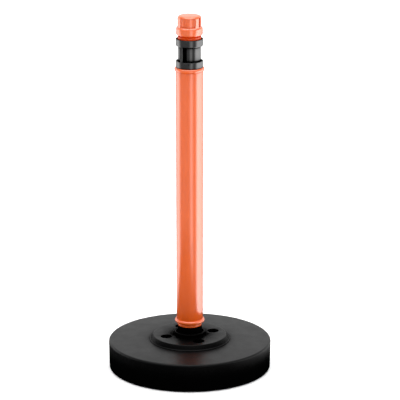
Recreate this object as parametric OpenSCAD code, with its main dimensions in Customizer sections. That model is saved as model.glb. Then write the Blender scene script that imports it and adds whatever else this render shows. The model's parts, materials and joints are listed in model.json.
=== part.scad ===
// Plastic chain stanchion: a tapered tube standing in a weighted round base, with a twist-cap
// chain connector on top. +Z up, origin at the floor under the middle of the base.

/* [Base] */
// Diameter of the base at its top edge
base_d = 400; // [360:1:440]
// Height of the base's flat top above the floor
base_h = 70; // [64:0.5:74]
// Diameter of the flat on top of the raised boss
boss_d = 179; // [176:1:190]
// Height of the boss above the base's flat top
boss_h = 12.5; // [10:0.5:16]
// Wall thickness of the base shell
shell_wall = 4; // [3.5:0.1:5]
// Diameter of the four wells in the boss
well_d = 28.5; // [26:0.5:29]
// Diameter of the circle the wells lie on
well_pcd = 123; // [121:0.5:126]
// Turn of the well pattern from the +X axis, in degrees
well_turn = 20.8; // [0:0.1:90]

/* [Post] */
// Diameter of the tube under its top bead
post_top_d = 66.4; // [66:0.1:67]
// Diameter of the tube above its bottom bead
post_foot_d = 65; // [64.4:0.1:66]
// Wall thickness of the tube
post_wall = 3.5; // [3:0.1:4]
// Diameter of the beads at both ends of the tube
bead_d = 73; // [71:0.5:76]
// Height of the tube's top end above the floor
post_top = 758.5; // [700:0.5:800]
// Diameter of the neck that sits on the socket
neck_d = 58.8; // [58:0.1:59.4]
// Height at which the neck sits on the socket
seat_z = 106.5; // [104:0.5:110]

/* [Chain connector] */
// Diameter of the two black flanges
flange_d = 66; // [65:0.5:68]
// Height of the lower flange
lower_flange_h = 16.4; // [15:0.1:18]
// Height of the waist between the flanges
waist_h = 36; // [34:0.5:38]
// Height of the upper flange
upper_flange_h = 18; // [17:0.5:20]
// Diameter of the core between the flanges
core_d = 55.4; // [54:0.1:56]
// Width of each bar that the chain hangs on
bar_w = 5.6; // [5:0.1:7]
// Direction of the first bar from the +X axis, in degrees
bar_turn = 234; // [0:1:360]
// Rise of the spool and cap between locked and open
lift = 12; // [10:0.5:12.5]

/* [Cap] */
// Diameter of the cap's grip
grip_d = 57.4; // [56.6:0.1:58]
// Diameter of the ring round the foot of the cap
ring_d = 64.2; // [63:0.1:65]
// Height of the cap from its lower edge to its crown
cap_h = 47.5; // [46:0.5:50]
// Depth of the wide finger panels in the grip
panel_depth = 3.4; // [2.4:0.1:3.6]

/* [Hidden] */
$fn = 96;
e = 0.01;

running_gap = 0.05;
free_gap = 0.3;
bolt_gap = 0.5;
// How far a cutting body runs past the face it opens
over = 1;

// Base levels and radii
foot_z = 1.5;
foot_r = base_d / 2 - 1.4;
pan_z = 2;
pan_t = 6;
pan_top = pan_z + pan_t;
pan_gap = 0.5;
boss_top = base_h + boss_h;
boss_foot_d = boss_d + 16;
hub_hole_r = 80;
well_floor = 26;
well_floor_t = 5;
well_wall = 3;
socket_r = 29.7;
socket_bore = 26.6;
socket_flange_r = 44;
socket_flange_t = 5;
collar_r = 36.4;
collar_h = 8.5;
bolt_r = 4;
bolt_head_r = 6.5;
bolt_head_h = 7.2;
bolt_key_r = 3.5;
bolt_key_depth = 4.5;
base_washer_r = 9;
base_washer_t = 1.8;
nut_r = 7.5;
nut_h = 4;
pad_r = 16;
pad_count = 6;
pad_turn = 30;
pad_recess = 2;
foot_pcd = 330;

// Post levels and radii
bead_h = 9.4;
spigot_r = socket_bore - free_gap;
spigot_end = 30;
spigot_wall = 3.2;

// Connector levels and radii
deck_t = 6;
lower_top = post_top + lower_flange_h;
waist_top = lower_top + waist_h;
upper_top = waist_top + upper_flange_h;
flange_r = flange_d / 2;
core_r = core_d / 2;
plug_r = 28.6;
plug_h = 40;
stem_r = 10;
stem_tail = 12;
stem_nut_r = 17;
slot_w = 4;
slot_depth = 2.2;
slot_h = 60;
stop_washer_r = 13;
stop_washer_t = 1.5;
stop_screw_r = 2.5;
stop_screw_l = 16;
stop_head_r = 5;
stop_head_h = 3;
stop_key_r = 2.3;
bush_r = 14;
bush_h = 26;
bush_flange_r = 17;
bush_flange_t = 2;
spool_gap = 0.3;
pocket_r = 12;
pocket_at = 30.5;
bar_inner = 28.2;
cavity_r = 24;
cavity_floor = waist_top + 3;
washer_t = 1.6;
mark_w = 6;
mark_h = 5;
mark_proud = 0.8;
retainer_z = waist_top + 7.5;
retainer_t = 4;
retainer_r = 29;
recess_r = 30.4;
retainer_screw_at = 26.6;
retainer_screw_r = 1.4;

// Cap levels and radii
hub_foot_r = 23.5;
hub_foot_z = cavity_floor + washer_t + 0.2;
hub_stem_r = 20;
neck_ring_r = 28.4;
neck_groove_r = 26.4;
neck_ring_z = upper_top - 4.6;
cap_z = upper_top + 9.8;
cap_top = cap_z + cap_h;
grip_r = grip_d / 2;
ring_r = ring_d / 2;
ring_h = 17.6;
panel_z = cap_z + ring_h + 2.6;
hub_top = cap_z + 3;
cap_wall = 2.5;
cap_roof = 7.5;
hub_plug_r = 23.2;
hub_bore_r = 23.9;
hub_plug_top = hub_top + 4;
stop_gap = 2.2;
stem_top = hub_plug_top + lift + stop_gap;

// Colours
black_plastic = [0.09, 0.09, 0.1];
orange_plastic = [0.91, 0.32, 0.1];
concrete_grey = [0.6, 0.6, 0.58];
rubber_black = [0.05, 0.05, 0.05];
steel_grey = [0.7, 0.71, 0.73];
nylon_white = [0.9, 0.89, 0.85];

// A ring between two radii and two heights
module ring(r_out, r_in, z0, z1) {
    translate([0, 0, z0]) difference() {
        cylinder(r = r_out, h = z1 - z0);
        translate([0, 0, -1]) cylinder(r = r_in, h = z1 - z0 + 2);
    }
}

// A plain rod between two heights
module rod(r, z0, z1) {
    translate([0, 0, z0]) cylinder(r = r, h = z1 - z0);
}

// A prism with six flats between two heights; r is the radius to a corner
module hex(r, z0, z1) {
    translate([0, 0, z0]) cylinder(r = r, h = z1 - z0, $fn = 6);
}

// Copies its children at count places round a circle
module around(count, r, turn = 0) {
    for (i = [0 : count - 1]) rotate(turn + i * 360 / count) translate([r, 0, 0]) children();
}

// Points of a convex round edge: centre, radius, and the angles it runs between
function arc(cx, cy, r, a0, a1, steps = 6) =
    [for (i = [0 : steps]) let (a = a0 + (a1 - a0) * i / steps) [cx + r * cos(a), cy + r * sin(a)]];

module base_shell() {
    edge = 5;
    inner_r = foot_r - shell_wall;
    color(black_plastic) rotate_extrude() polygon(concat(
        [[inner_r, foot_z], [foot_r - 2, foot_z]],
        arc(foot_r - 2, foot_z + 2, 2, -90, 0, 4),
        arc(base_d / 2 - edge, base_h - edge, edge, 0, 90),
        [[hub_hole_r, base_h], [hub_hole_r, base_h - shell_wall],
         [inner_r - 4, base_h - shell_wall], [inner_r, base_h - shell_wall - 4]]));
}

// Section of the hub plate: a low dome with a flat top and a flared foot
module hub_outline() {
    edge = 2.5;
    r = boss_d / 2;
    foot = boss_foot_d / 2;
    polygon(concat(
        [[r - shell_wall + 3, base_h], [foot + 1.5, base_h], [foot + 1.5, base_h + 0.8],
         [foot, base_h + 1.6], [foot - 1, base_h + 3.6]],
        arc(r - edge + 1, boss_top - edge, edge, 24, 90, 5),
        [[socket_r + free_gap, boss_top], [socket_r + free_gap, boss_top - shell_wall],
         [r - shell_wall - 2, boss_top - shell_wall]]));
}

module hub_plate() {
    lip_r = hub_hole_r - free_gap;
    color(black_plastic) difference() {
        union() {
            rotate_extrude() hub_outline();
            ring(lip_r, lip_r - well_wall, base_h - shell_wall, boss_top - 1);
            around(4, well_pcd / 2, well_turn)
                rod(well_d / 2 + well_wall, well_floor - well_floor_t, boss_top - 1);
        }
        around(4, well_pcd / 2, well_turn) {
            rod(well_d / 2, well_floor, boss_top + over);
            rod(bolt_r + bolt_gap, well_floor - well_floor_t - over, well_floor + over);
        }
    }
}

module base_pan() {
    pan_r = foot_r - shell_wall - pan_gap;
    drain_r = 6;
    nut_gap = 0.2;
    color(black_plastic) difference() {
        rod(pan_r, pan_z, pan_top);
        rod(drain_r, pan_z - over, pan_top + over);
        around(pad_count, foot_pcd / 2, pad_turn)
            rod(pad_r + free_gap, pan_z - over, pan_z + pad_recess);
        around(4, well_pcd / 2, well_turn) {
            rod(bolt_r + bolt_gap, pan_z - over, pan_top + over);
            hex(nut_r + nut_gap, pan_z - over, pan_z + nut_h);
        }
    }
}

module rubber_feet() {
    color(rubber_black) around(pad_count, foot_pcd / 2, pad_turn) rod(pad_r, 0, pan_z + pad_recess);
}

module ballast() {
    fill_r = foot_r - shell_wall - 2;
    fill_top = base_h - shell_wall - 1;
    boss_fill_r = hub_hole_r - well_wall - 1.5;
    shoulder_w = 4;
    shoulder_h = 6;
    color(concrete_grey) difference() {
        union() {
            rod(fill_r - shoulder_w, pan_top, fill_top);
            rod(fill_r, pan_top, fill_top - shoulder_h);
            rod(boss_fill_r, fill_top - 1, boss_top - shell_wall - 1);
        }
        rod(socket_r + 1, pan_top - 1, boss_top);
        rod(socket_flange_r + 1, pan_top - 1, pan_top + socket_flange_t + 1);
        around(4, well_pcd / 2, well_turn) {
            rod(well_d / 2 + well_wall + bolt_gap, well_floor - well_floor_t - bolt_gap, boss_top);
            rod(bolt_r + 2 * bolt_gap, pan_top - over, well_floor);
        }
    }
}

module base_bolts() {
    head_z = well_floor + base_washer_t;
    color(steel_grey) around(4, well_pcd / 2, well_turn) {
        rod(bolt_r, pan_z + bolt_gap, head_z + e);
        difference() {
            rod(bolt_head_r, head_z, head_z + bolt_head_h);
            hex(bolt_key_r, head_z + bolt_head_h - bolt_key_depth, head_z + bolt_head_h + over);
        }
    }
}

module base_washers() {
    color(steel_grey) around(4, well_pcd / 2, well_turn)
        ring(base_washer_r, bolt_r + 0.4, well_floor, well_floor + base_washer_t);
}

module base_nuts() {
    color(steel_grey) around(4, well_pcd / 2, well_turn) difference() {
        hex(nut_r, pan_z, pan_z + nut_h);
        rod(bolt_r, pan_z - over, pan_z + nut_h + over);
    }
}

module post_socket() {
    drain_r = 5;
    floor_t = 6;
    lead_h = 1;
    lead_w = 1.2;
    color(black_plastic) difference() {
        union() {
            rod(socket_r, pan_top, seat_z);
            rod(socket_flange_r, pan_top, pan_top + socket_flange_t);
        }
        rod(socket_bore, pan_top + floor_t, seat_z + over);
        translate([0, 0, seat_z - lead_h])
            cylinder(r1 = socket_bore, r2 = socket_bore + lead_w, h = lead_h + e);
        rod(drain_r, pan_top - over, pan_top + floor_t + over);
    }
}

module socket_collar() {
    top = boss_top + collar_h;
    edge = 2.5;
    color(black_plastic) rotate_extrude() polygon(concat(
        [[socket_r + free_gap / 2, boss_top], [collar_r, boss_top]],
        arc(collar_r - edge, top - edge, edge, 0, 90),
        [[socket_r + free_gap / 2, top]]));
}

// Outer section of the post, from the end of the spigot up to the top bead
module post_outline() {
    foot_r = post_foot_d / 2;
    top_r = post_top_d / 2;
    half = bead_h / 2;
    low = seat_z + 8 + half;
    high = post_top - half;
    squash = bead_d / 2 - foot_r + 1;
    lead = 1.5;
    polygon(concat(
        [[0, spigot_end], [spigot_r - lead, spigot_end], [spigot_r, spigot_end + lead],
         [spigot_r, seat_z], [neck_d / 2 - 0.6, seat_z], [neck_d / 2, seat_z + 0.6],
         [neck_d / 2, seat_z + 4.2], [neck_d / 2 - 0.8, seat_z + 4.6],
         [neck_d / 2 - 0.8, seat_z + 5.2], [neck_d / 2 + 0.8, seat_z + 5.8]],
        [for (i = [0 : 12]) let (a = -82 + i * 164 / 12)
            [foot_r - 1 + squash * cos(a), low + half * sin(a)]],
        [for (i = [0 : 11]) let (a = -82 + i * 164 / 12)
            [top_r - 1 + (bead_d / 2 - top_r + 1) * cos(a), high + half * sin(a)]],
        [[top_r + 0.6, post_top], [0, post_top]]));
}

module post_tube() {
    spigot_bore = spigot_r - spigot_wall;
    foot_bore = post_foot_d / 2 - post_wall;
    top_bore = post_top_d / 2 - post_wall;
    flare_z = seat_z + 14;
    flare_h = 8;
    tube_z = flare_z + flare_h - e;
    color(orange_plastic) difference() {
        rotate_extrude() post_outline();
        rod(spigot_bore, spigot_end - over, flare_z + over);
        translate([0, 0, flare_z]) cylinder(r1 = spigot_bore, r2 = foot_bore, h = flare_h);
        translate([0, 0, tube_z])
            cylinder(r1 = foot_bore, r2 = top_bore, h = post_top - tube_z + over);
    }
}

module spigot_cap() {
    lip_r = spigot_r - 1.5;
    lip_t = 3;
    sleeve_r = spigot_r - spigot_wall;
    sleeve_t = 2.5;
    sleeve_h = 12;
    drain_r = 4;
    color(black_plastic) difference() {
        union() {
            rod(lip_r, spigot_end - lip_t, spigot_end);
            rod(sleeve_r, spigot_end - over, spigot_end + sleeve_h);
        }
        rod(sleeve_r - sleeve_t, spigot_end, spigot_end + sleeve_h + over);
        rod(drain_r, spigot_end - lip_t - over, spigot_end + over);
    }
}

// A small raised wedge that marks the locked position; its point is at the top
module mark(r, z) {
    foot = mark_w / 2;
    tip = 0.6;
    translate([0, -r + over, z]) rotate([90, 0, 0]) linear_extrude(over + mark_proud)
        polygon([[-foot, 0], [foot, 0], [tip, mark_h], [-tip, mark_h]]);
}

module head_base() {
    edge = 1.6;
    plug_wall = 3;
    color(black_plastic) difference() {
        union() {
            rotate_extrude() polygon(concat(
                [[0, post_top], [flange_r - edge, post_top]],
                arc(flange_r - edge, post_top + edge, edge, -90, 0, 4),
                arc(flange_r - 1, lower_top - 1, 1, 0, 90, 4),
                [[0, lower_top]]));
            rod(plug_r, post_top - plug_h, post_top + e);
            mark(flange_r, lower_top - mark_h - 0.2);
        }
        rod(plug_r - plug_wall, post_top - plug_h - over, lower_top - deck_t);
        rod(stem_r, post_top, lower_top + over);
    }
}

module spindle() {
    slot_below = 6;
    color(nylon_white) difference() {
        rod(stem_r, lower_top - deck_t - stem_tail, stem_top);
        translate([stem_r - slot_depth, -slot_w / 2, waist_top - slot_below])
            cube([slot_depth + over, slot_w, slot_h]);
        rod(stop_screw_r, stem_top - stop_screw_l - 2, stem_top + over);
    }
}

module spindle_nut() {
    color(nylon_white) difference() {
        hex(stem_nut_r, lower_top - deck_t - stem_tail + 2, lower_top - deck_t);
        rod(stem_r, lower_top - deck_t - stem_tail, lower_top);
    }
}

module stop_washer() {
    color(steel_grey) ring(stop_washer_r, stop_screw_r, stem_top, stem_top + stop_washer_t);
}

module stop_screw() {
    head_z = stem_top + stop_washer_t;
    color(steel_grey) {
        rod(stop_screw_r, stem_top - stop_screw_l, head_z + e);
        difference() {
            rod(stop_head_r, head_z, head_z + stop_head_h);
            hex(stop_key_r, head_z + 1, head_z + stop_head_h + over);
        }
    }
}

module keyed_washer() {
    tab = slot_depth - 0.4;
    color(steel_grey) {
        ring(hub_foot_r, stem_r + running_gap, cavity_floor, cavity_floor + washer_t);
        translate([stem_r - tab, -slot_w / 2 + 0.2, cavity_floor])
            cube([tab + 2, slot_w - 0.4, washer_t]);
    }
}

module chain_spool() {
    low = lower_top + spool_gap;
    edge = 3;
    color(black_plastic) difference() {
        union() {
            difference() {
                rod(core_r, low, waist_top + 1);
                around(2, pocket_at, bar_turn) rod(pocket_r, low - 1, waist_top);
            }
            rotate_extrude() polygon(concat(
                [[0, waist_top], [flange_r - edge, waist_top]],
                arc(flange_r - edge, waist_top + edge, edge, -90, 0, 5),
                arc(flange_r - 1, upper_top - 1, 1, 0, 90, 4),
                [[0, upper_top]]));
            intersection() {
                ring(flange_r, bar_inner, low, waist_top + edge + 1);
                around(2, 0, bar_turn) translate([0, -bar_w / 2, low])
                    cube([flange_r + 5, bar_w, waist_h + edge]);
            }
        }
        rod(bush_r, low - 1, low + bush_h + bush_flange_t);
        rod(bush_flange_r + 0.2, low - 1, low + bush_flange_t);
        rod(stem_r + 1, low, upper_top);
        rod(cavity_r, cavity_floor, upper_top + 1);
        rod(retainer_r + 0.2, retainer_z, upper_top + 1);
        rod(recess_r, retainer_z + retainer_t, upper_top + 1);
        around(4, retainer_screw_at, 45) rod(retainer_screw_r, retainer_z - 5, retainer_z + 1);
    }
}

module swivel_bush() {
    low = lower_top;
    color(nylon_white) difference() {
        union() {
            rod(bush_r, low, low + bush_h);
            rod(bush_flange_r, low, low + spool_gap + bush_flange_t);
        }
        rod(stem_r + running_gap, low - 1, low + bush_h + 1);
    }
}

module neck_retainer() {
    split = 0.4;
    color(black_plastic) difference() {
        ring(retainer_r, hub_stem_r + free_gap, retainer_z, retainer_z + retainer_t);
        translate([-40, -split / 2, retainer_z - 1]) cube([80, split, retainer_t + 2]);
        around(4, retainer_screw_at, 45) rod(retainer_screw_r, retainer_z - 1, retainer_z + retainer_t + 1);
    }
}

module retainer_screws() {
    color(steel_grey) around(4, retainer_screw_at, 45)
        rod(retainer_screw_r, retainer_z - 4.5, retainer_z + retainer_t);
}

// Cuts a finger panel into the grip between two directions, measured round from the front
module panel_cut(from, to, depth) {
    turn = 270 + from;
    rotate(turn) rotate_extrude(angle = to - from)
        translate([grip_r - depth, panel_z]) square([depth + 5, cap_top - panel_z]);
}

module cap_shell() {
    crown = 1.2;
    corner = 7;
    slot_extra = 0.8;
    mark_rise = 1.6;
    inner_r = grip_r - panel_depth - slot_extra - cap_wall;
    color(orange_plastic) difference() {
        union() {
            rotate_extrude() polygon(concat(
                [[0, cap_z], [ring_r - 2, cap_z], [ring_r, cap_z + 1.6],
                 [ring_r, cap_z + ring_h - 2.4], [ring_r - 1.2, cap_z + ring_h],
                 [grip_r, cap_z + ring_h + 1.2]],
                arc(grip_r - corner, cap_top - crown - corner, corner, 0, 80, 7),
                [[grip_r / 2, cap_top - 0.4], [0, cap_top]]));
            mark(ring_r, cap_z + ring_h - mark_h + mark_rise);
        }
        for (half = [0, 180]) {
            panel_cut(half - 50, half + 30, panel_depth);
            panel_cut(half + 52, half + 66, panel_depth + slot_extra);
        }
        rod(hub_bore_r, cap_z - over, hub_plug_top + over);
        rod(inner_r, cap_z - over, cap_top - cap_roof);
    }
}

module cap_hub() {
    color(orange_plastic) difference() {
        union() {
            rod(hub_foot_r, hub_foot_z, retainer_z - 0.3);
            rod(hub_stem_r, hub_foot_z, neck_ring_z + 1);
            rotate_extrude() polygon([
                [0, neck_ring_z], [neck_ring_r - 1.5, neck_ring_z], [neck_ring_r, neck_ring_z + 1.5],
                [neck_ring_r, upper_top + 5], [neck_groove_r, upper_top + 6.2],
                [neck_groove_r, cap_z], [0, cap_z]]);
            rod(hub_plug_r, cap_z - 1, hub_plug_top);
        }
        rod(stem_r + running_gap, hub_foot_z - 1, hub_plug_top + 1);
    }
}

base_shell();
hub_plate();
base_pan();
ballast();
rubber_feet();
base_bolts();
base_washers();
base_nuts();
post_socket();
socket_collar();
post_tube();
spigot_cap();
head_base();
spindle();
spindle_nut();
stop_washer();
stop_screw();
keyed_washer();
chain_spool();
swivel_bush();
neck_retainer();
retainer_screws();
cap_shell();
cap_hub();
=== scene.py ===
"""Looks for the plastic chain stanchion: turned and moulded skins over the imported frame, with
procedural materials, a pale floor, soft studio light and the camera.

Lengths in this file are in millimetres up to mm(), which turns them into Blender's metres. The
studio's and the camera's own lengths are in metres, and named angles without math.radians are in
degrees.
"""
import json
import math

import bmesh
import bpy
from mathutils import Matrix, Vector


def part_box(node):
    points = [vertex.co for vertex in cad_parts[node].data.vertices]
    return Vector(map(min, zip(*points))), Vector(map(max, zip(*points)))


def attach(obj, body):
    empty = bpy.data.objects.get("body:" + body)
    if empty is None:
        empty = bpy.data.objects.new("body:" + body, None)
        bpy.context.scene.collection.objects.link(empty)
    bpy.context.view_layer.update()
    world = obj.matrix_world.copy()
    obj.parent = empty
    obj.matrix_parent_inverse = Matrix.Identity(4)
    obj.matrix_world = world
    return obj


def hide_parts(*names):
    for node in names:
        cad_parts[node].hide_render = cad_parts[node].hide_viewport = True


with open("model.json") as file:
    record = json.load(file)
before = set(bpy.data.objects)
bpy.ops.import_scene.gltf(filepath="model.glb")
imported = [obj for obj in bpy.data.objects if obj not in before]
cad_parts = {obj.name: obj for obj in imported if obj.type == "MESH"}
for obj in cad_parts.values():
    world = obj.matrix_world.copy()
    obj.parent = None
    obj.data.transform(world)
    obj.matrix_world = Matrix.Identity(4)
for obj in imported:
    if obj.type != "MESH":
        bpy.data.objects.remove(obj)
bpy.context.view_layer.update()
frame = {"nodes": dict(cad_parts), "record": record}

MM = 0.001
TAU = 2 * math.pi


def mm(value):
    return value * MM


def low(node):
    """Height of a CAD node's lowest point, in millimetres."""
    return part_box(node)[0].z / MM


def high(node):
    """Height of a CAD node's highest point, in millimetres."""
    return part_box(node)[1].z / MM


def radius(node):
    """Half the width of a CAD node along X, in millimetres."""
    lo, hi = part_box(node)
    return (hi.x - lo.x) / 2 / MM


# ---------------------------------------------------------------- meshes

def finish_mesh(bm, name, sharp=32):
    """Turns a bmesh into a smooth-shaded object whose edges over `sharp` degrees stay crisp."""
    bmesh.ops.remove_doubles(bm, verts=bm.verts, dist=mm(0.002))
    bmesh.ops.recalc_face_normals(bm, faces=bm.faces)
    mesh = bpy.data.meshes.new(name)
    bm.to_mesh(mesh)
    bm.free()
    mesh.shade_smooth()
    mesh.set_sharp_from_angle(angle=math.radians(sharp))
    obj = bpy.data.objects.new(name, mesh)
    bpy.context.scene.collection.objects.link(obj)
    return obj


def rounded(corners, steps=5):
    """A closed outline from corners (r, z, fillet): each corner with a fillet becomes an arc."""
    outline = []
    count = len(corners)
    for i, (r, z, fillet) in enumerate(corners):
        here = Vector((r, z))
        if fillet <= 0:
            outline.append(here)
            continue
        before = (Vector(corners[i - 1][:2]) - here)
        after = (Vector(corners[(i + 1) % count][:2]) - here)
        half = before.angle(after) / 2
        reach = min(fillet / math.tan(half), before.length * 0.49, after.length * 0.49)
        bend = reach * math.tan(half)
        a, b = before.normalized(), after.normalized()
        centre = here + (a + b).normalized() * (bend / math.sin(half))
        start, end = here + a * reach - centre, here + b * reach - centre
        turn = start.angle_signed(end)
        for k in range(steps + 1):
            angle = -turn * k / steps
            c, s = math.cos(angle), math.sin(angle)
            outline.append(centre + Vector((start.x * c - start.y * s, start.x * s + start.y * c)))
    return outline


def turned(name, outline, segments=160, sharp=32):
    """A closed outline of (r, z) points turned once round the Z axis."""
    bm = bmesh.new()
    rings = []
    for r, z in outline:
        if r < 1e-6:
            rings.append([bm.verts.new((0, 0, mm(z)))])
        else:
            rings.append([bm.verts.new((mm(r) * math.cos(TAU * i / segments),
                                        mm(r) * math.sin(TAU * i / segments), mm(z)))
                          for i in range(segments)])
    for one, two in zip(rings, rings[1:] + rings[:1]):
        for i in range(segments):
            j = (i + 1) % segments
            corners = [one[i % len(one)], one[j % len(one)], two[j % len(two)], two[i % len(two)]]
            unique = list(dict.fromkeys(corners))
            if len(unique) > 2:
                bm.faces.new(unique)
    return finish_mesh(bm, name, sharp)


def cylinder(name, r, z0, z1, at=(0, 0), segments=64):
    """A plain cutter for booleans."""
    obj = turned(name, [(0, z0), (r, z0), (r, z1), (0, z1)], segments)
    obj.location = (mm(at[0]), mm(at[1]), 0)
    return obj


def cut(obj, cutters, operation="DIFFERENCE"):
    """Applies exact booleans to obj and removes the cutters."""
    for cutter in cutters:
        modifier = obj.modifiers.new("cut", "BOOLEAN")
        modifier.operation = operation
        modifier.object = cutter
        modifier.solver = "EXACT"
    bake(obj)
    for cutter in cutters:
        bpy.data.objects.remove(cutter)


def bake(obj):
    """Replaces the object's mesh with its evaluated mesh and drops the modifiers."""
    graph = bpy.context.evaluated_depsgraph_get()
    graph.update()
    mesh = bpy.data.meshes.new_from_object(obj.evaluated_get(graph))
    obj.modifiers.clear()
    obj.data = mesh


def soften(obj, width, pick, segments=3, sharp=32):
    """Rounds the edges that pick(edge) chooses, and shades the result smooth."""
    bm = bmesh.new()
    bm.from_mesh(obj.data)
    bmesh.ops.remove_doubles(bm, verts=bm.verts, dist=mm(0.01))
    edges = [e for e in bm.edges if len(e.link_faces) == 2 and pick(e)]
    bmesh.ops.bevel(bm, geom=edges, offset=mm(width), segments=segments, profile=0.5,
                    affect="EDGES", clamp_overlap=True)
    bm.to_mesh(obj.data)
    bm.free()
    obj.data.shade_smooth()
    obj.data.set_sharp_from_angle(angle=math.radians(sharp))


def round_cad(node, width, angle=40):
    """Rounds the sharp edges of a CAD node that stays on show."""
    bevel = frame["nodes"][node].modifiers.new("edges", "BEVEL")
    bevel.width = mm(width)
    bevel.segments = 2
    bevel.limit_method = "ANGLE"
    bevel.angle_limit = math.radians(angle)
    bevel.harden_normals = True


def prism(name, outline, z0, z1):
    """An upright prism from an outline of (x, y) points."""
    bm = bmesh.new()
    bottom = [bm.verts.new((mm(x), mm(y), mm(z0))) for x, y in outline]
    top = [bm.verts.new((mm(x), mm(y), mm(z1))) for x, y in outline]
    bm.faces.new(bottom[::-1])
    bm.faces.new(top)
    for i in range(len(outline)):
        j = (i + 1) % len(outline)
        bm.faces.new([bottom[i], bottom[j], top[j], top[i]])
    return finish_mesh(bm, name)


def join(obj, others):
    """Joins the other objects' meshes into obj."""
    bm = bmesh.new()
    bm.from_mesh(obj.data)
    for other in others:
        other.data.transform(other.matrix_world)
        bm.from_mesh(other.data)
        bpy.data.objects.remove(other)
    bm.to_mesh(obj.data)
    bm.free()
    obj.data.shade_smooth()
    obj.data.set_sharp_from_angle(angle=math.radians(32))


# ---------------------------------------------------------------- materials

class Nodes:
    """A short way to build a material's node tree."""

    def __init__(self, name):
        self.material = bpy.data.materials.new(name)
        self.material.use_nodes = True
        self.tree = self.material.node_tree
        self.tree.nodes.clear()
        self.shader = self.tree.nodes.new("ShaderNodeBsdfPrincipled")
        out = self.tree.nodes.new("ShaderNodeOutputMaterial")
        self.tree.links.new(self.shader.outputs[0], out.inputs[0])
        self.place = self.tree.nodes.new("ShaderNodeTexCoord").outputs["Object"]

    def link(self, a, b):
        self.tree.links.new(a, b)

    def stretched(self, scale):
        """Object coordinates with their own scale on each axis."""
        mapping = self.tree.nodes.new("ShaderNodeMapping")
        mapping.inputs["Scale"].default_value = scale
        self.link(self.place, mapping.inputs["Vector"])
        return mapping.outputs[0]

    def noise(self, scale, detail=4, roughness=0.5, vector=None):
        """Fractal noise; scale is in cycles a metre."""
        node = self.tree.nodes.new("ShaderNodeTexNoise")
        node.inputs["Scale"].default_value = scale
        node.inputs["Detail"].default_value = detail
        node.inputs["Roughness"].default_value = roughness
        self.link(vector or self.place, node.inputs["Vector"])
        return node.outputs["Fac"]

    def span(self, value, low_in, high_in, low_out, high_out):
        """Maps a range of a value to another, clamped."""
        node = self.tree.nodes.new("ShaderNodeMapRange")
        for socket, number in zip(("From Min", "From Max", "To Min", "To Max"),
                                  (low_in, high_in, low_out, high_out)):
            node.inputs[socket].default_value = number
        self.link(value, node.inputs["Value"])
        return node.outputs[0]

    def blend(self, factor, one, two):
        """Mixes two colours, each a colour or a socket."""
        node = self.tree.nodes.new("ShaderNodeMix")
        node.data_type = "RGBA"
        self.link(factor, node.inputs["Factor"])
        for socket, value in ((node.inputs[6], one), (node.inputs[7], two)):
            if isinstance(value, tuple):
                socket.default_value = (*value, 1)
            else:
                self.link(value, socket)
        return node.outputs[2]

    def combine(self, one, two, operation="ADD"):
        """Joins two values, each a number or a socket."""
        node = self.tree.nodes.new("ShaderNodeMath")
        node.operation = operation
        for socket, value in zip(node.inputs, (one, two)):
            if isinstance(value, (int, float)):
                socket.default_value = value
            else:
                self.link(value, socket)
        return node.outputs[0]

    def bump(self, height, depth, strength=1.0, normal=None):
        """Adds relief; depth is in millimetres."""
        node = self.tree.nodes.new("ShaderNodeBump")
        node.inputs["Distance"].default_value = mm(depth)
        node.inputs["Strength"].default_value = strength
        self.link(height, node.inputs["Height"])
        if normal:
            self.link(normal, node.inputs["Normal"])
        return node.outputs[0]

    def openness(self, reach, closed, free):
        """1 where the surface lies open, falling to 0 in grooves and pockets: the mask by which shade is
        painted there.

        reach is in mm; closed and free are the shares of open sky where it is 0 and 1.
        """
        node = self.tree.nodes.new("ShaderNodeAmbientOcclusion")
        node.samples = 12
        node.inputs["Distance"].default_value = mm(reach)
        return self.span(node.outputs["AO"], closed, free, 0, 1)

    def edges(self, start=0.52, end=0.62):
        """Grows from 0 on flat surfaces to 1 on convex edges."""
        geometry = self.tree.nodes.new("ShaderNodeNewGeometry")
        return self.span(geometry.outputs["Pointiness"], start, end, 0, 1)


def moulded(name, deep, pale, worn, painted_shade, gloss, grain, grain_depth, specular, painted_shade_range):
    """Moulded plastic: slow colour drift, handling scuffs, rubbed edges, a surface grain and painted shade
    in its hollows.

    gloss is the roughness range; grain is the size of the surface grain in cycles a metre. Shade is
    painted where the surface is closed in (see openness): the colour turns to the shade colour and the
    shine goes.
    """
    n = Nodes(name)
    drift = n.span(n.noise(9, 3), 0.3, 0.7, 0, 1)
    colour = n.blend(drift, deep, pale)
    scuffs = n.span(n.noise(1, 5, 0.65, n.stretched((160, 160, 26))), 0.6, 0.78, 0, 0.16)
    colour = n.blend(scuffs, colour, worn)
    rubbed = n.combine(n.edges(), n.span(n.noise(90, 3), 0.35, 0.65, 0.1, 0.6), "MULTIPLY")
    colour = n.blend(rubbed, colour, worn)
    # Painted shade: where the surface is closed in, the colour is blended to the shade colour and the
    # shine is taken out.
    clear = n.openness(*painted_shade_range)
    n.link(n.blend(clear, painted_shade, colour), n.shader.inputs["Base Color"])
    n.link(n.combine(clear, specular, "MULTIPLY"), n.shader.inputs["Specular IOR Level"])
    rough = n.span(n.noise(34, 4, 0.6), 0.3, 0.7, gloss[0], gloss[1])
    rough = n.combine(rough, n.combine(scuffs, 0.25, "MULTIPLY"))
    n.link(rough, n.shader.inputs["Roughness"])
    flow = n.bump(n.noise(28, 2), 0.15, 0.3)
    n.link(n.bump(n.noise(grain, 2, 0.6), grain_depth, 0.5, flow), n.shader.inputs["Normal"])
    return n.material


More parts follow.
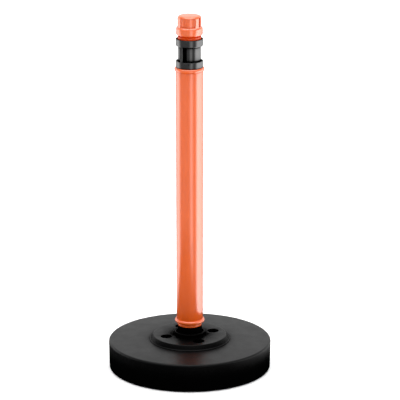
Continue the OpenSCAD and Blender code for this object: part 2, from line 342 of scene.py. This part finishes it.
def zinc_steel():
    n = Nodes("zinc_steel_finish")
    spangle = n.span(n.noise(300, 3), 0.3, 0.7, 0, 1)
    n.link(n.blend(spangle, (0.52, 0.53, 0.54), (0.7, 0.7, 0.68)), n.shader.inputs["Base Color"])
    n.link(n.span(n.noise(900, 3), 0.3, 0.7, 0.25, 0.45), n.shader.inputs["Roughness"])
    n.link(n.bump(n.noise(1500, 3), 0.02, 0.5), n.shader.inputs["Normal"])
    n.shader.inputs["Metallic"].default_value = 1.0
    return n.material


def concrete():
    n = Nodes("concrete_finish")
    stones = n.span(n.noise(160, 8, 0.7), 0.35, 0.65, 0, 1)
    n.link(n.blend(stones, (0.32, 0.31, 0.29), (0.52, 0.51, 0.48)), n.shader.inputs["Base Color"])
    n.link(n.span(n.noise(300, 4), 0.3, 0.7, 0.8, 0.95), n.shader.inputs["Roughness"])
    n.link(n.bump(n.noise(420, 8, 0.7), 1.0, 0.7), n.shader.inputs["Normal"])
    return n.material


def nylon():
    n = Nodes("nylon_finish")
    n.link(n.blend(n.noise(40, 3), (0.78, 0.75, 0.66), (0.86, 0.84, 0.78)),
           n.shader.inputs["Base Color"])
    n.link(n.span(n.noise(200, 3), 0.3, 0.7, 0.32, 0.45), n.shader.inputs["Roughness"])
    n.link(n.bump(n.noise(700, 2), 0.03, 0.4), n.shader.inputs["Normal"])
    n.shader.inputs["Subsurface Weight"].default_value = 0.1
    n.shader.inputs["Subsurface Radius"].default_value = (0.004, 0.003, 0.002)
    return n.material


# The orange's shade colour is painted into its grooves and pockets.
ORANGE = dict(deep=(0.62, 0.086, 0.006), pale=(0.66, 0.098, 0.009), worn=(0.72, 0.150, 0.040),
              painted_shade=(0.54, 0.042, 0.002), gloss=(0.16, 0.22), grain=420, grain_depth=0.012,
              specular=1.0)

# Each finish paints shade into its grooves, its pockets and under its ledges, by the reach and the two
# shares in its last argument.
FINISHES = {
    "orange_plastic": moulded("orange_finish", **ORANGE, painted_shade_range=(8, 0.36, 0.70)),
    # A copy of the orange for the neck under the cap's ring, with shade painted over all of it: even where
    # open, about half the colour is the shade colour and half the shine is gone.
    "orange_neck": moulded("orange_neck_painted_shade_finish", **ORANGE, painted_shade_range=(20, 0.72, 1.25)),
    # The base's long reach paints its lower sides black and darkens the boss round the socket and the
    # wells.
    "base_plastic": moulded(
        "base_finish", deep=(0.0010, 0.0010, 0.0011), pale=(0.0016, 0.0016, 0.0017),
        worn=(0.005, 0.005, 0.0052), painted_shade=(0.0004, 0.0004, 0.0004), gloss=(0.36, 0.42),
        grain=1300, grain_depth=0.05, specular=0.10, painted_shade_range=(90, 0.78, 0.985)),
    # Shade is painted black into the spool's pockets, under its upper flange and on the lower flange's
    # top.
    "head_plastic": moulded(
        "head_finish", deep=(0.0022, 0.0022, 0.0024), pale=(0.0032, 0.0032, 0.0035),
        worn=(0.010, 0.010, 0.0104), painted_shade=(0.0004, 0.0004, 0.0004), gloss=(0.16, 0.22),
        grain=900, grain_depth=0.012, specular=0.62, painted_shade_range=(22, 0.78, 0.95)),
    "foot_rubber": moulded(
        "rubber_finish", deep=(0.02, 0.02, 0.02), pale=(0.03, 0.03, 0.03),
        worn=(0.06, 0.058, 0.055), painted_shade=(0.01, 0.01, 0.01), gloss=(0.7, 0.85),
        grain=900, grain_depth=0.15, specular=0.3, painted_shade_range=(22, 0.45, 0.85)),
    "nylon": nylon(),
    "concrete": concrete(),
    "zinc_steel": zinc_steel(),
}


def dress(obj, slot, body=None, stands_for=()):
    """Gives a piece its finish, its body and the CAD nodes that it stands for."""
    obj.data.materials.clear()
    obj.data.materials.append(FINISHES[slot])
    if body:
        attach(obj, body)
    if stands_for:
        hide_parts(*stands_for)
    return obj


def dress_cad():
    """Every CAD node takes its slot's finish; the ones that are replaced below don't show it."""
    for part in frame["record"]["subparts"]:
        node = frame["nodes"][part["node"]]
        for slot in node.material_slots:
            slot.material = FINISHES[part["material_slot"]]


# ---------------------------------------------------------------- base

BASE_R = radius("base_shell")
BASE_FOOT = low("base_shell")
BASE_TOP = high("base_shell")
BOSS_TOP = high("hub_plate")
BOSS_R = 89.5
BOSS_FOOT_R = 97.5
HUB_HOLE_R = 80
WALL = 4
SOCKET_R = 29.7
WELL_R = 14.25
WELL_WALL = 3
WELL_AT = 61.5
WELL_TURN = math.radians(20.8)
WELL_FLOOR = low("base_washers")
BOLT_HOLE_R = 4.5
FREE_GAP = 0.3
PAD_R = 16
PAD_AT = 165
PAD_COUNT = 6
PAD_TURN = 30


def wells():
    """The middle of each well, as (x, y)."""
    return [(WELL_AT * math.cos(WELL_TURN + k * TAU / 4), WELL_AT * math.sin(WELL_TURN + k * TAU / 4))
            for k in range(4)]


def drum():
    """The drum's outer shell, open below, with a hole in its top for the hub plate."""
    inner = BASE_R - WALL - 1.4
    outline = rounded([
        (HUB_HOLE_R, BASE_TOP, 0), (BASE_R, BASE_TOP, 5), (BASE_R - 1.4, BASE_FOOT, 2.2),
        (inner, BASE_FOOT, 0), (inner, BASE_TOP - WALL, 3), (HUB_HOLE_R, BASE_TOP - WALL, 0)], 8)
    return dress(turned("base_drum", outline, 256), "base_plastic", "base", ["base_shell"])


def hub_plate():
    """The raised boss, with a flared foot on the drum and four wells with softened lips."""
    hole, lip = SOCKET_R + FREE_GAP, HUB_HOLE_R - FREE_GAP
    under = BASE_TOP - WALL
    plate = turned("hub_boss", rounded([
        (hole, BOSS_TOP, 0), (BOSS_R + 0.4, BOSS_TOP, 2.6), (BOSS_FOOT_R - 0.6, BASE_TOP + 2.2, 2.5),
        (BOSS_FOOT_R + 1.4, BASE_TOP + 0.9, 0.4), (BOSS_FOOT_R + 1.4, BASE_TOP, 0),
        (BOSS_R - 1, BASE_TOP, 0), (BOSS_R - WALL - 2, BOSS_TOP - WALL, 2),
        (lip, BOSS_TOP - WALL, 0), (lip, under, 0.4), (lip - WELL_WALL, under, 0.4),
        (lip - WELL_WALL, BOSS_TOP - WALL, 0), (hole, BOSS_TOP - WALL, 0)], 8), 256)
    cut(plate, [cylinder("liner", WELL_R + WELL_WALL, WELL_FLOOR - 5, BOSS_TOP - 1, at)
                for at in wells()], "UNION")
    cut(plate, [cylinder("well", WELL_R, WELL_FLOOR, BOSS_TOP + 5, at, 96) for at in wells()])
    cut(plate, [cylinder("bolt_hole", BOLT_HOLE_R, WELL_FLOOR - 6, WELL_FLOOR + 1, at)
                for at in wells()])

    def at_lip(edge):
        for vert in edge.verts:
            p = vert.co / MM
            near = min(abs(math.hypot(p.x - x, p.y - y) - WELL_R) for x, y in wells())
            if near > 0.05 or abs(p.z - BOSS_TOP) > 0.05:
                return False
        return True

    soften(plate, 1.1, at_lip, 4)
    return dress(plate, "base_plastic", "base", ["hub_plate"])


def socket():
    """The tube that takes the post, with a flange at its foot and a drain in its floor."""
    top, bottom = high("post_socket"), low("post_socket")
    flange_top, floor = bottom + 5, bottom + 6
    flange_r = radius("post_socket")
    bore, drain = 26.6, 5
    outline = rounded([
        (bore, top, 0.8), (SOCKET_R, top, 0.8), (SOCKET_R, flange_top, 1), (flange_r, flange_top, 1),
        (flange_r, bottom, 0), (drain, bottom, 0), (drain, floor, 0.5), (bore, floor, 1)], 4)
    return dress(turned("post_socket_tube", outline), "base_plastic", "base", ["post_socket"])


def collar():
    """The clamp ring on the boss."""
    foot, top, r = low("socket_collar"), high("socket_collar"), radius("socket_collar")
    inner = SOCKET_R + 0.15
    outline = rounded([(inner, foot, 0), (r, foot, 0.4), (r, top - 1.5, 1.2), (r - 2.2, top, 1),
                       (inner, top, 0.5)], 5)
    return dress(turned("socket_ring", outline), "base_plastic", "base", ["socket_collar"])


def foot_pads():
    """Rubber pads with three raised tread rings each."""
    pads = []
    top = high("rubber_feet")
    for k in range(PAD_COUNT):
        angle = math.radians(PAD_TURN) + TAU * k / PAD_COUNT
        outline = [(0, top), (PAD_R, top), (PAD_R, 0.6), (PAD_R - 0.6, 0)]
        for ring in range(3):
            inner = PAD_R - 3 - ring * 4.5
            outline += [(inner, 0), (inner - 0.4, 0.7), (inner - 1.4, 0.7), (inner - 1.8, 0)]
        pad = turned("pad", outline + [(0, 0)], 48)
        shift = Vector((mm(PAD_AT) * math.cos(angle), mm(PAD_AT) * math.sin(angle), 0))
        for vert in pad.data.vertices:
            vert.co += shift
        pads.append(pad)
    first = pads[0]
    first.name = "tread_pads"
    join(first, pads[1:])
    return dress(first, "foot_rubber", "base", ["rubber_feet"])


# ---------------------------------------------------------------- post

POST_TOP = high("post_tube")
SEAT = high("post_socket")
BEAD_R = radius("post_tube")
POST_TOP_R = 33.2
POST_FOOT_R = 32.5
NECK_R = 29.4
BEAD_HALF = 4.7
POST_WALL = 3.6
SPIGOT_R = 26.3
SPIGOT_BORE_R = 23.1


def bead(centre, r_before, r_after):
    """Points of a half-round bead, from its lower foot to its upper foot."""
    points = []
    for i in range(21):
        angle = math.radians(-86 + 172 * i / 20)
        base = (r_before if angle < 0 else r_after) - 0.8
        points.append((base + (BEAD_R - base) * math.cos(angle), centre + BEAD_HALF * math.sin(angle)))
    return points


def post():
    """The tapered tube: spigot, neck with its groove, lower bead, wall, upper bead."""
    end = low("post_tube")
    low_bead = SEAT + 8 + BEAD_HALF
    high_bead = POST_TOP - BEAD_HALF
    lower = rounded([
        (SPIGOT_BORE_R, end, 0), (SPIGOT_R, end, 1.5), (SPIGOT_R, SEAT, 0), (NECK_R, SEAT, 0.7),
        (NECK_R, SEAT + 4.6, 0.5), (NECK_R - 0.8, SEAT + 4.9, 0.2), (NECK_R - 0.8, SEAT + 5.4, 0.2),
        (NECK_R + 0.9, SEAT + 5.9, 0.5), (NECK_R + 0.9, SEAT + 8.2, 0.3), (POST_FOOT_R, SEAT + 8.4, 0)], 4)
    outline = [tuple(p) for p in lower[:-1]]
    outline += bead(low_bead, NECK_R + 1.4, POST_FOOT_R)
    rows = 24
    start, stop = low_bead + BEAD_HALF + 1.2, high_bead - BEAD_HALF - 1.2
    for i in range(rows + 1):
        t = i / rows
        outline.append((POST_FOOT_R + (POST_TOP_R - POST_FOOT_R) * t, start + (stop - start) * t))
    outline += bead(high_bead, POST_TOP_R, POST_TOP_R)
    outline += [(POST_TOP_R - POST_WALL, POST_TOP), (POST_FOOT_R - POST_WALL, SEAT + 22),
                (SPIGOT_BORE_R, SEAT + 14)]
    return dress(turned("post", outline, 192, 40), "orange_plastic", "post", ["post_tube"])


# ---------------------------------------------------------------- chain connector

FLANGE_R = 33.0
LOWER_TOP = high("head_base")
WAIST_TOP = LOWER_TOP + 36
UPPER_TOP = high("chain_spool")
CORE_R = 27.7
BAR_TURN = math.radians(234)
STEM_BORE_R = 10.05
POCKET_R = 12
POCKET_AT = 30.5


def pointer(name, r, z, width, height, proud):
    """A small raised wedge on the front of a ring; its point is at the top."""
    bm = bmesh.new()
    back = []
    front = []
    for x, dz in ((-width / 2, 0), (width / 2, 0), (0.5, height), (-0.5, height)):
        depth = math.sqrt(r * r - x * x)
        back.append(bm.verts.new((mm(x), mm(-depth + 0.6), mm(z + dz))))
        front.append(bm.verts.new((mm(x * 0.86), mm(-depth - proud), mm(z + dz * 0.9 + 0.2))))
    bm.faces.new(back)
    bm.faces.new(front[::-1])
    for i in range(4):
        j = (i + 1) % 4
        bm.faces.new([back[i], back[j], front[j], front[i]])
    bmesh.ops.recalc_face_normals(bm, faces=bm.faces)
    bmesh.ops.bevel(bm, geom=list(bm.edges), offset=mm(0.25), segments=2, profile=0.5, affect="EDGES")
    return finish_mesh(bm, name, 50)


def lower_flange():
    """The flange on the post's top with its hollow plug and the front mark."""
    plug, foot = 28.6, low("head_base")
    plug_bore, under = plug - 3, LOWER_TOP - 6
    outline = rounded([
        (STEM_BORE_R, LOWER_TOP, 0.4), (FLANGE_R, LOWER_TOP, 1.0), (FLANGE_R, POST_TOP, 1.6),
        (plug, POST_TOP, 0), (plug, foot, 0.8), (plug_bore, foot, 0.5),
        (plug_bore, under, 1), (STEM_BORE_R, under, 0)], 5)
    flange = turned("lower_flange", outline)
    join(flange, [pointer("flange_mark", FLANGE_R, LOWER_TOP - 5.4, width=6.5, height=5.0, proud=0.7)])
    return dress(flange, "head_plastic", "post", ["head_base"])


def bar(turn, z0, z1):
    """One chain bar: rounded at its corners, its outer face flush with the flanges."""
    inner, outer, half, corner = 28.2, FLANGE_R - 0.02, 2.8, 0.9
    outline = []
    for cx, cy, start in ((outer - corner, half - corner, 0), (inner + corner, half - corner, 90),
                          (inner + corner, -half + corner, 180), (outer - corner, -half + corner, 270)):
        for k in range(6):
            angle = math.radians(start + 18 * k)
            x, y = cx + corner * math.cos(angle), cy + corner * math.sin(angle)
            if x > outer - corner:
                x = math.sqrt(FLANGE_R ** 2 - y * y) - (outer - x)
            outline.append((x * math.cos(turn) - y * math.sin(turn),
                            x * math.sin(turn) + y * math.cos(turn)))
    return prism("bar", outline, z0, z1)


def spool():
    """The core with its two chain pockets, the upper flange and the two bars."""
    foot = low("chain_spool")
    retainer = high("neck_retainer")
    recess, cavity, cavity_floor = 30.4, 24, WAIST_TOP + 3
    bush, bush_top, bush_flange, bush_flange_top = 14, foot + 28, 17.2, foot + 2
    shoulder = 11
    outline = rounded([
        (bush_flange, foot, 0), (CORE_R, foot, 0.8), (CORE_R, WAIST_TOP, 0.6),
        (FLANGE_R, WAIST_TOP, 3.0), (FLANGE_R, UPPER_TOP, 1.2), (recess, UPPER_TOP, 0.7),
        (recess, retainer, 0.4), (cavity, retainer - 4, 0), (cavity, cavity_floor, 0),
        (shoulder, cavity_floor, 0), (shoulder, bush_top, 0), (bush, bush_top, 0),
        (bush, bush_flange_top, 0), (bush_flange, bush_flange_top, 0)], 5)
    body = turned("spool", outline, 192)
    turns = (BAR_TURN, BAR_TURN + math.pi)
    middles = [(POCKET_AT * math.cos(t), POCKET_AT * math.sin(t)) for t in turns]
    cut(body, [cylinder("pocket", POCKET_R, foot - 3, WAIST_TOP, at, 96) for at in middles])

    def at_pocket(edge):
        for vert in edge.verts:
            p = vert.co / MM
            off = min(abs(math.hypot(p.x - x, p.y - y) - POCKET_R) for x, y in middles)
            if off > 0.05 or p.z > WAIST_TOP - 0.5 or p.z < foot + 0.5:
                return False
        return abs(edge.verts[0].co.z - edge.verts[1].co.z) > mm(10)

    soften(body, 0.8, at_pocket)
    cut(body, [bar(t, foot, WAIST_TOP + 3.4) for t in turns], "UNION")
    body.data.shade_smooth()
    body.data.set_sharp_from_angle(angle=math.radians(32))
    return dress(body, "head_plastic", "spool", ["chain_spool"])


# ---------------------------------------------------------------- cap

CAP_FOOT = low("cap_shell")
CAP_TOP = high("cap_shell")
RING_R = radius("cap_shell")
GRIP_R = 28.7
RING_H = 17.6
CORNER = 7
CROWN = 1.2
CAP_ROOF = 7.5
CAVITY_R = 22.0
HUB_BORE_R = 23.9
PANEL_FOOT = CAP_FOOT + RING_H + 2.6
PANEL_MID = (PANEL_FOOT + CAP_TOP - 6.4) / 2
PANEL_DEPTH = 3.4
SLOT_DEPTH = 4.2
PANEL_TOP = CAP_TOP - CROWN - CORNER + 3
# Each recess in the grip: the directions it runs between, round from the front, its depth, and
# half the angle that each of its side walls takes up
PANELS = ((-50, 30, PANEL_DEPTH, 2.1), (52, 66, SLOT_DEPTH, 0.8),
          (130, 210, PANEL_DEPTH, 2.1), (232, 246, SLOT_DEPTH, 0.8))


def smooth_step(value, start, end):
    t = min(1, max(0, (value - start) / (end - start)))
    return t * t * (3 - 2 * t)


def grip_limit(angle, z):
    """Largest radius of the grip at a direction, in degrees round from the front, and a height."""
    depth = 0
    for start, end, full, slope in PANELS:
        middle, half = (start + end) / 2, (end - start) / 2
        off = abs((angle - middle + 180) % 360 - 180)
        depth = max(depth, full * (1 - smooth_step(off, half - slope, half + slope)))
    ends = smooth_step(z, PANEL_FOOT - 0.3, PANEL_FOOT + 0.4)
    return GRIP_R - depth * ends * (1 - smooth_step(z, PANEL_TOP - 0.4, PANEL_TOP + 0.4))


def grip_angles():
    """Directions round the grip, close together where a panel's side wall turns."""
    marks = set(range(0, 360, 3))
    for start, end, _, _ in PANELS:
        for side in (start, end):
            marks |= {round((side + k * 0.3) % 360, 2) for k in range(-8, 9)}
    return sorted(marks)


def cap_rows():
    """The cap's uncut section from its cavity, round the outside, to the crown."""
    bore_top = high("cap_hub") + 1
    rows = [(CAVITY_R, CAP_TOP - CAP_ROOF), (CAVITY_R, bore_top), (HUB_BORE_R, bore_top),
            (HUB_BORE_R, CAP_FOOT), (RING_R - 1.8, CAP_FOOT), (RING_R - 0.5, CAP_FOOT + 0.6),
            (RING_R, CAP_FOOT + 1.8), (RING_R, CAP_FOOT + RING_H - 2.6),
            (RING_R - 0.4, CAP_FOOT + RING_H - 1.2), (RING_R - 1.6, CAP_FOOT + RING_H),
            (GRIP_R + 0.7, CAP_FOOT + RING_H + 0.7), (GRIP_R + 0.1, CAP_FOOT + RING_H + 1.3)]
    corner_z = CAP_TOP - CROWN - CORNER
    ledge = [PANEL_FOOT + 0.1 * k for k in range(-4, 6)]
    side = [PANEL_FOOT + 1 + (corner_z - PANEL_FOOT - 1) * k / 14 for k in range(14)]
    rows += [(GRIP_R, z) for z in ledge + side]
    for k in range(33):
        turn = math.radians(80 * k / 32)
        rows.append((GRIP_R - CORNER + CORNER * math.cos(turn), corner_z + CORNER * math.sin(turn)))
    rows += [((GRIP_R - CORNER) * t, CAP_TOP - CROWN * t * t) for t in (0.75, 0.5, 0.25)]
    return rows


def cap():
    """The grip with its recesses and ring, hollow below, and the front mark."""
    angles = grip_angles()
    bm = bmesh.new()
    rings = []
    for r, z in cap_rows():
        ring = []
        for angle in angles:
            turn = math.radians(270 + angle)
            reach = mm(r if r > GRIP_R else min(r, grip_limit(angle, z)))
            ring.append(bm.verts.new((reach * math.cos(turn), reach * math.sin(turn), mm(z))))
        rings.append(ring)
    for one, two in zip(rings, rings[1:]):
        for i in range(len(angles)):
            j = (i + 1) % len(angles)
            bm.faces.new([one[i], one[j], two[j], two[i]])
    crown = bm.verts.new((0, 0, mm(CAP_TOP)))
    roof = bm.verts.new((0, 0, mm(CAP_TOP - CAP_ROOF)))
    for i in range(len(angles)):
        j = (i + 1) % len(angles)
        bm.faces.new([rings[-1][i], rings[-1][j], crown])
        bm.faces.new([rings[0][j], rings[0][i], roof])
    shell = finish_mesh(bm, "cap", 38)
    mark = pointer("cap_mark", RING_R - 0.9, CAP_FOOT + RING_H - 3.4,
                   width=6.0, height=5.0, proud=0.8)
    join(shell, [mark])
    return dress(shell, "orange_plastic", "cap", ["cap_shell"])


def turn_arrow():
    """A raised pair of chevrons in the front panel that show which way the cap turns."""
    bm = bmesh.new()
    r = GRIP_R - PANEL_DEPTH
    sunk, proud = 0.4, 0.9
    first, step = -36, 8.5
    for k in range(2):
        at = first + k * step
        shape = [(0, 0), (3.4, 4.2), (5.6, 4.2), (2.4, 0), (5.6, -4.2), (3.4, -4.2)]
        back, front = [], []
        for x, dz in shape:
            turn = math.radians(270 + at) + x / r
            z = PANEL_MID + dz
            for ring, level in ((back, r - sunk), (front, r + proud)):
                ring.append(bm.verts.new((mm(level) * math.cos(turn), mm(level) * math.sin(turn), mm(z))))
        for ring in (back, front):
            for order in ((0, 1, 2, 3), (0, 3, 4, 5)):
                bm.faces.new([ring[i] for i in order])
        for i in range(6):
            j = (i + 1) % 6
            bm.faces.new([back[i], back[j], front[j], front[i]])
    bmesh.ops.recalc_face_normals(bm, faces=bm.faces)
    bmesh.ops.bevel(bm, geom=[e for e in bm.edges if e.calc_face_angle(0) > 0.5], offset=mm(0.2),
                    segments=2, profile=0.5, affect="EDGES")
    return dress(finish_mesh(bm, "turn_arrow", 50), "orange_plastic", "cap")


def neck():
    """The cap's hub: a collar held in the spool, a neck ring, a groove and a plug in the cap."""
    foot, top = low("cap_hub"), high("cap_hub")
    collar_r, collar_top = 23.5, foot + 2.2
    stem, plug, groove = 20, 23.2, 26.4
    ring_r, ring_foot, ring_top = 28.4, UPPER_TOP - 4.6, UPPER_TOP + 5.4
    outline = rounded([
        (STEM_BORE_R, foot, 0.3), (collar_r, foot, 0.3), (collar_r, collar_top, 0.3),
        (stem, collar_top, 0.3), (stem, ring_foot, 0.4), (ring_r, ring_foot, 1.5),
        (ring_r, ring_top, 1.0), (groove, ring_top + 1, 0.6), (groove, CAP_FOOT, 0),
        (plug, CAP_FOOT, 0), (plug, top, 0.5), (STEM_BORE_R, top, 0.3)], 5)
    hub = dress(turned("cap_neck", outline), "orange_plastic", "cap", ["cap_hub"])
    # The neck takes the copy of the orange with shade painted over all of it.
    hub.data.materials[0] = FINISHES["orange_neck"]
    return hub


# ---------------------------------------------------------------- studio

class Sky(Nodes):
    """Soft boxes painted on the world by direction: degrees round from the front, and up."""

    def __init__(self, name):
        self.world = bpy.data.worlds.new(name)
        self.world.use_nodes = True
        self.tree = self.world.node_tree
        direction = self.tree.nodes.new("ShaderNodeSeparateXYZ")
        self.link(self.tree.nodes.new("ShaderNodeTexCoord").outputs["Generated"],
                  direction.inputs[0])
        x, y, z = direction.outputs
        to_degrees = 180 / math.pi
        self.round = self.combine(self.combine(x, self.combine(y, -1, "MULTIPLY"), "ARCTAN2"),
                              to_degrees, "MULTIPLY")
        self.up = self.combine(self.combine(z, 0, "ARCSINE"), to_degrees, "MULTIPLY")
        self.total = None

    def box(self, strength, turns, heights, blurs, rise=8):
        """Adds a box between two turns and two heights; each side has its own blur."""
        level = strength
        edges = zip((self.round, self.up), (turns, heights), (blurs, (rise, rise)))
        for angle, (start, end), (first, last) in edges:
            level = self.combine(self.span(angle, start - first, start + first, 0, 1), level, "MULTIPLY")
            level = self.combine(self.span(angle, end - last, end + last, 1, 0), level, "MULTIPLY")
        self.total = self.combine(level, self.total) if self.total else level

    def done(self, ambient):
        background = self.tree.nodes["Background"]
        background.inputs["Color"].default_value = (1, 1, 1, 1)
        self.link(self.combine(self.total, ambient), background.inputs["Strength"])
        bpy.context.scene.world = self.world


FLOOR_HALF = 14
DISC_R = 0.7
DISC_AT = (-0.25, -0.35, 0.0005)
# Each soft box: its strength, the turns and heights it lies between, and its blurs
SOFT_BOXES = {
    "right": (5.3, (60, 118), (-70, 12), (9, 34)),
    "left": (3.7, (-128, -92), (-70, 12), (26, 14)),
    "strip": (2.7, (7, 25), (-70, 12), (10, 10)),
    "rear_right": (0.8, (130, 200), (6, 50), (15, 8)),
    "rear_left": (0.8, (-200, -130), (6, 50), (8, 15)),
    "top": (3.9, (-400, 400), (58, 120), (8, 8)),
}
AMBIENT = 0.62


def studio():
    """A pale floor that reflections don't show, a dark disc that only they show, and the sky."""
    bpy.context.scene.view_settings.view_transform = "Standard"
    floor_mesh = bmesh.new()
    bmesh.ops.create_grid(floor_mesh, x_segments=8, y_segments=8, size=FLOOR_HALF)
    floor = finish_mesh(floor_mesh, "studio_floor")
    paper = Nodes("floor_paper")
    paper.link(paper.blend(paper.noise(3, 2), (0.91, 0.91, 0.91), (0.95, 0.95, 0.95)),
               paper.shader.inputs["Base Color"])
    paper.shader.inputs["Roughness"].default_value = 0.9
    floor.data.materials.append(paper.material)
    floor.visible_glossy = False

    disc_mesh = bmesh.new()
    bmesh.ops.create_circle(disc_mesh, cap_ends=True, segments=96, radius=DISC_R)
    bmesh.ops.translate(disc_mesh, verts=disc_mesh.verts, vec=DISC_AT)
    disc = finish_mesh(disc_mesh, "studio_dark_disc")
    card = Nodes("dark_card")
    card.link(card.blend(card.noise(3, 2), (0.02, 0.02, 0.02), (0.03, 0.03, 0.03)),
              card.shader.inputs["Base Color"])
    card.shader.inputs["Roughness"].default_value = 0.9
    card.shader.inputs["Specular IOR Level"].default_value = 0
    disc.data.materials.append(card.material)
    disc.visible_camera = disc.visible_diffuse = disc.visible_shadow = False

    sky = Sky("studio")
    for box in SOFT_BOXES.values():
        sky.box(*box)
    sky.done(AMBIENT)


CAMERA_AWAY = 6.206
CAMERA_UP = 2.210
CAMERA_PITCH = 16.04
CAMERA_LENS = 238.5
AIM_RIGHT = 0.0253


def camera():
    """The camera stands in front, higher than the post, and looks down at its middle."""
    data = bpy.data.cameras.new("camera")
    data.lens = CAMERA_LENS
    data.sensor_width = 36
    data.clip_start, data.clip_end = 0.1, 60
    obj = bpy.data.objects.new("camera", data)
    yaw = math.atan(AIM_RIGHT / CAMERA_AWAY)
    obj.location = (0, -CAMERA_AWAY, CAMERA_UP)
    obj.rotation_euler = (math.radians(90 - CAMERA_PITCH), 0, -yaw)
    bpy.context.scene.collection.objects.link(obj)
    bpy.context.scene.camera = obj


camera()
studio()
dress_cad()
drum()
hub_plate()
socket()
collar()
foot_pads()
post()
lower_flange()
spool()
cap()
turn_arrow()
neck()
for cad_node, edge_width in (("base_bolts", 0.4), ("base_washers", 0.2), ("base_nuts", 0.3),
                             ("base_pan", 0.6), ("stop_screw", 0.3)):
    round_cad(cad_node, edge_width)
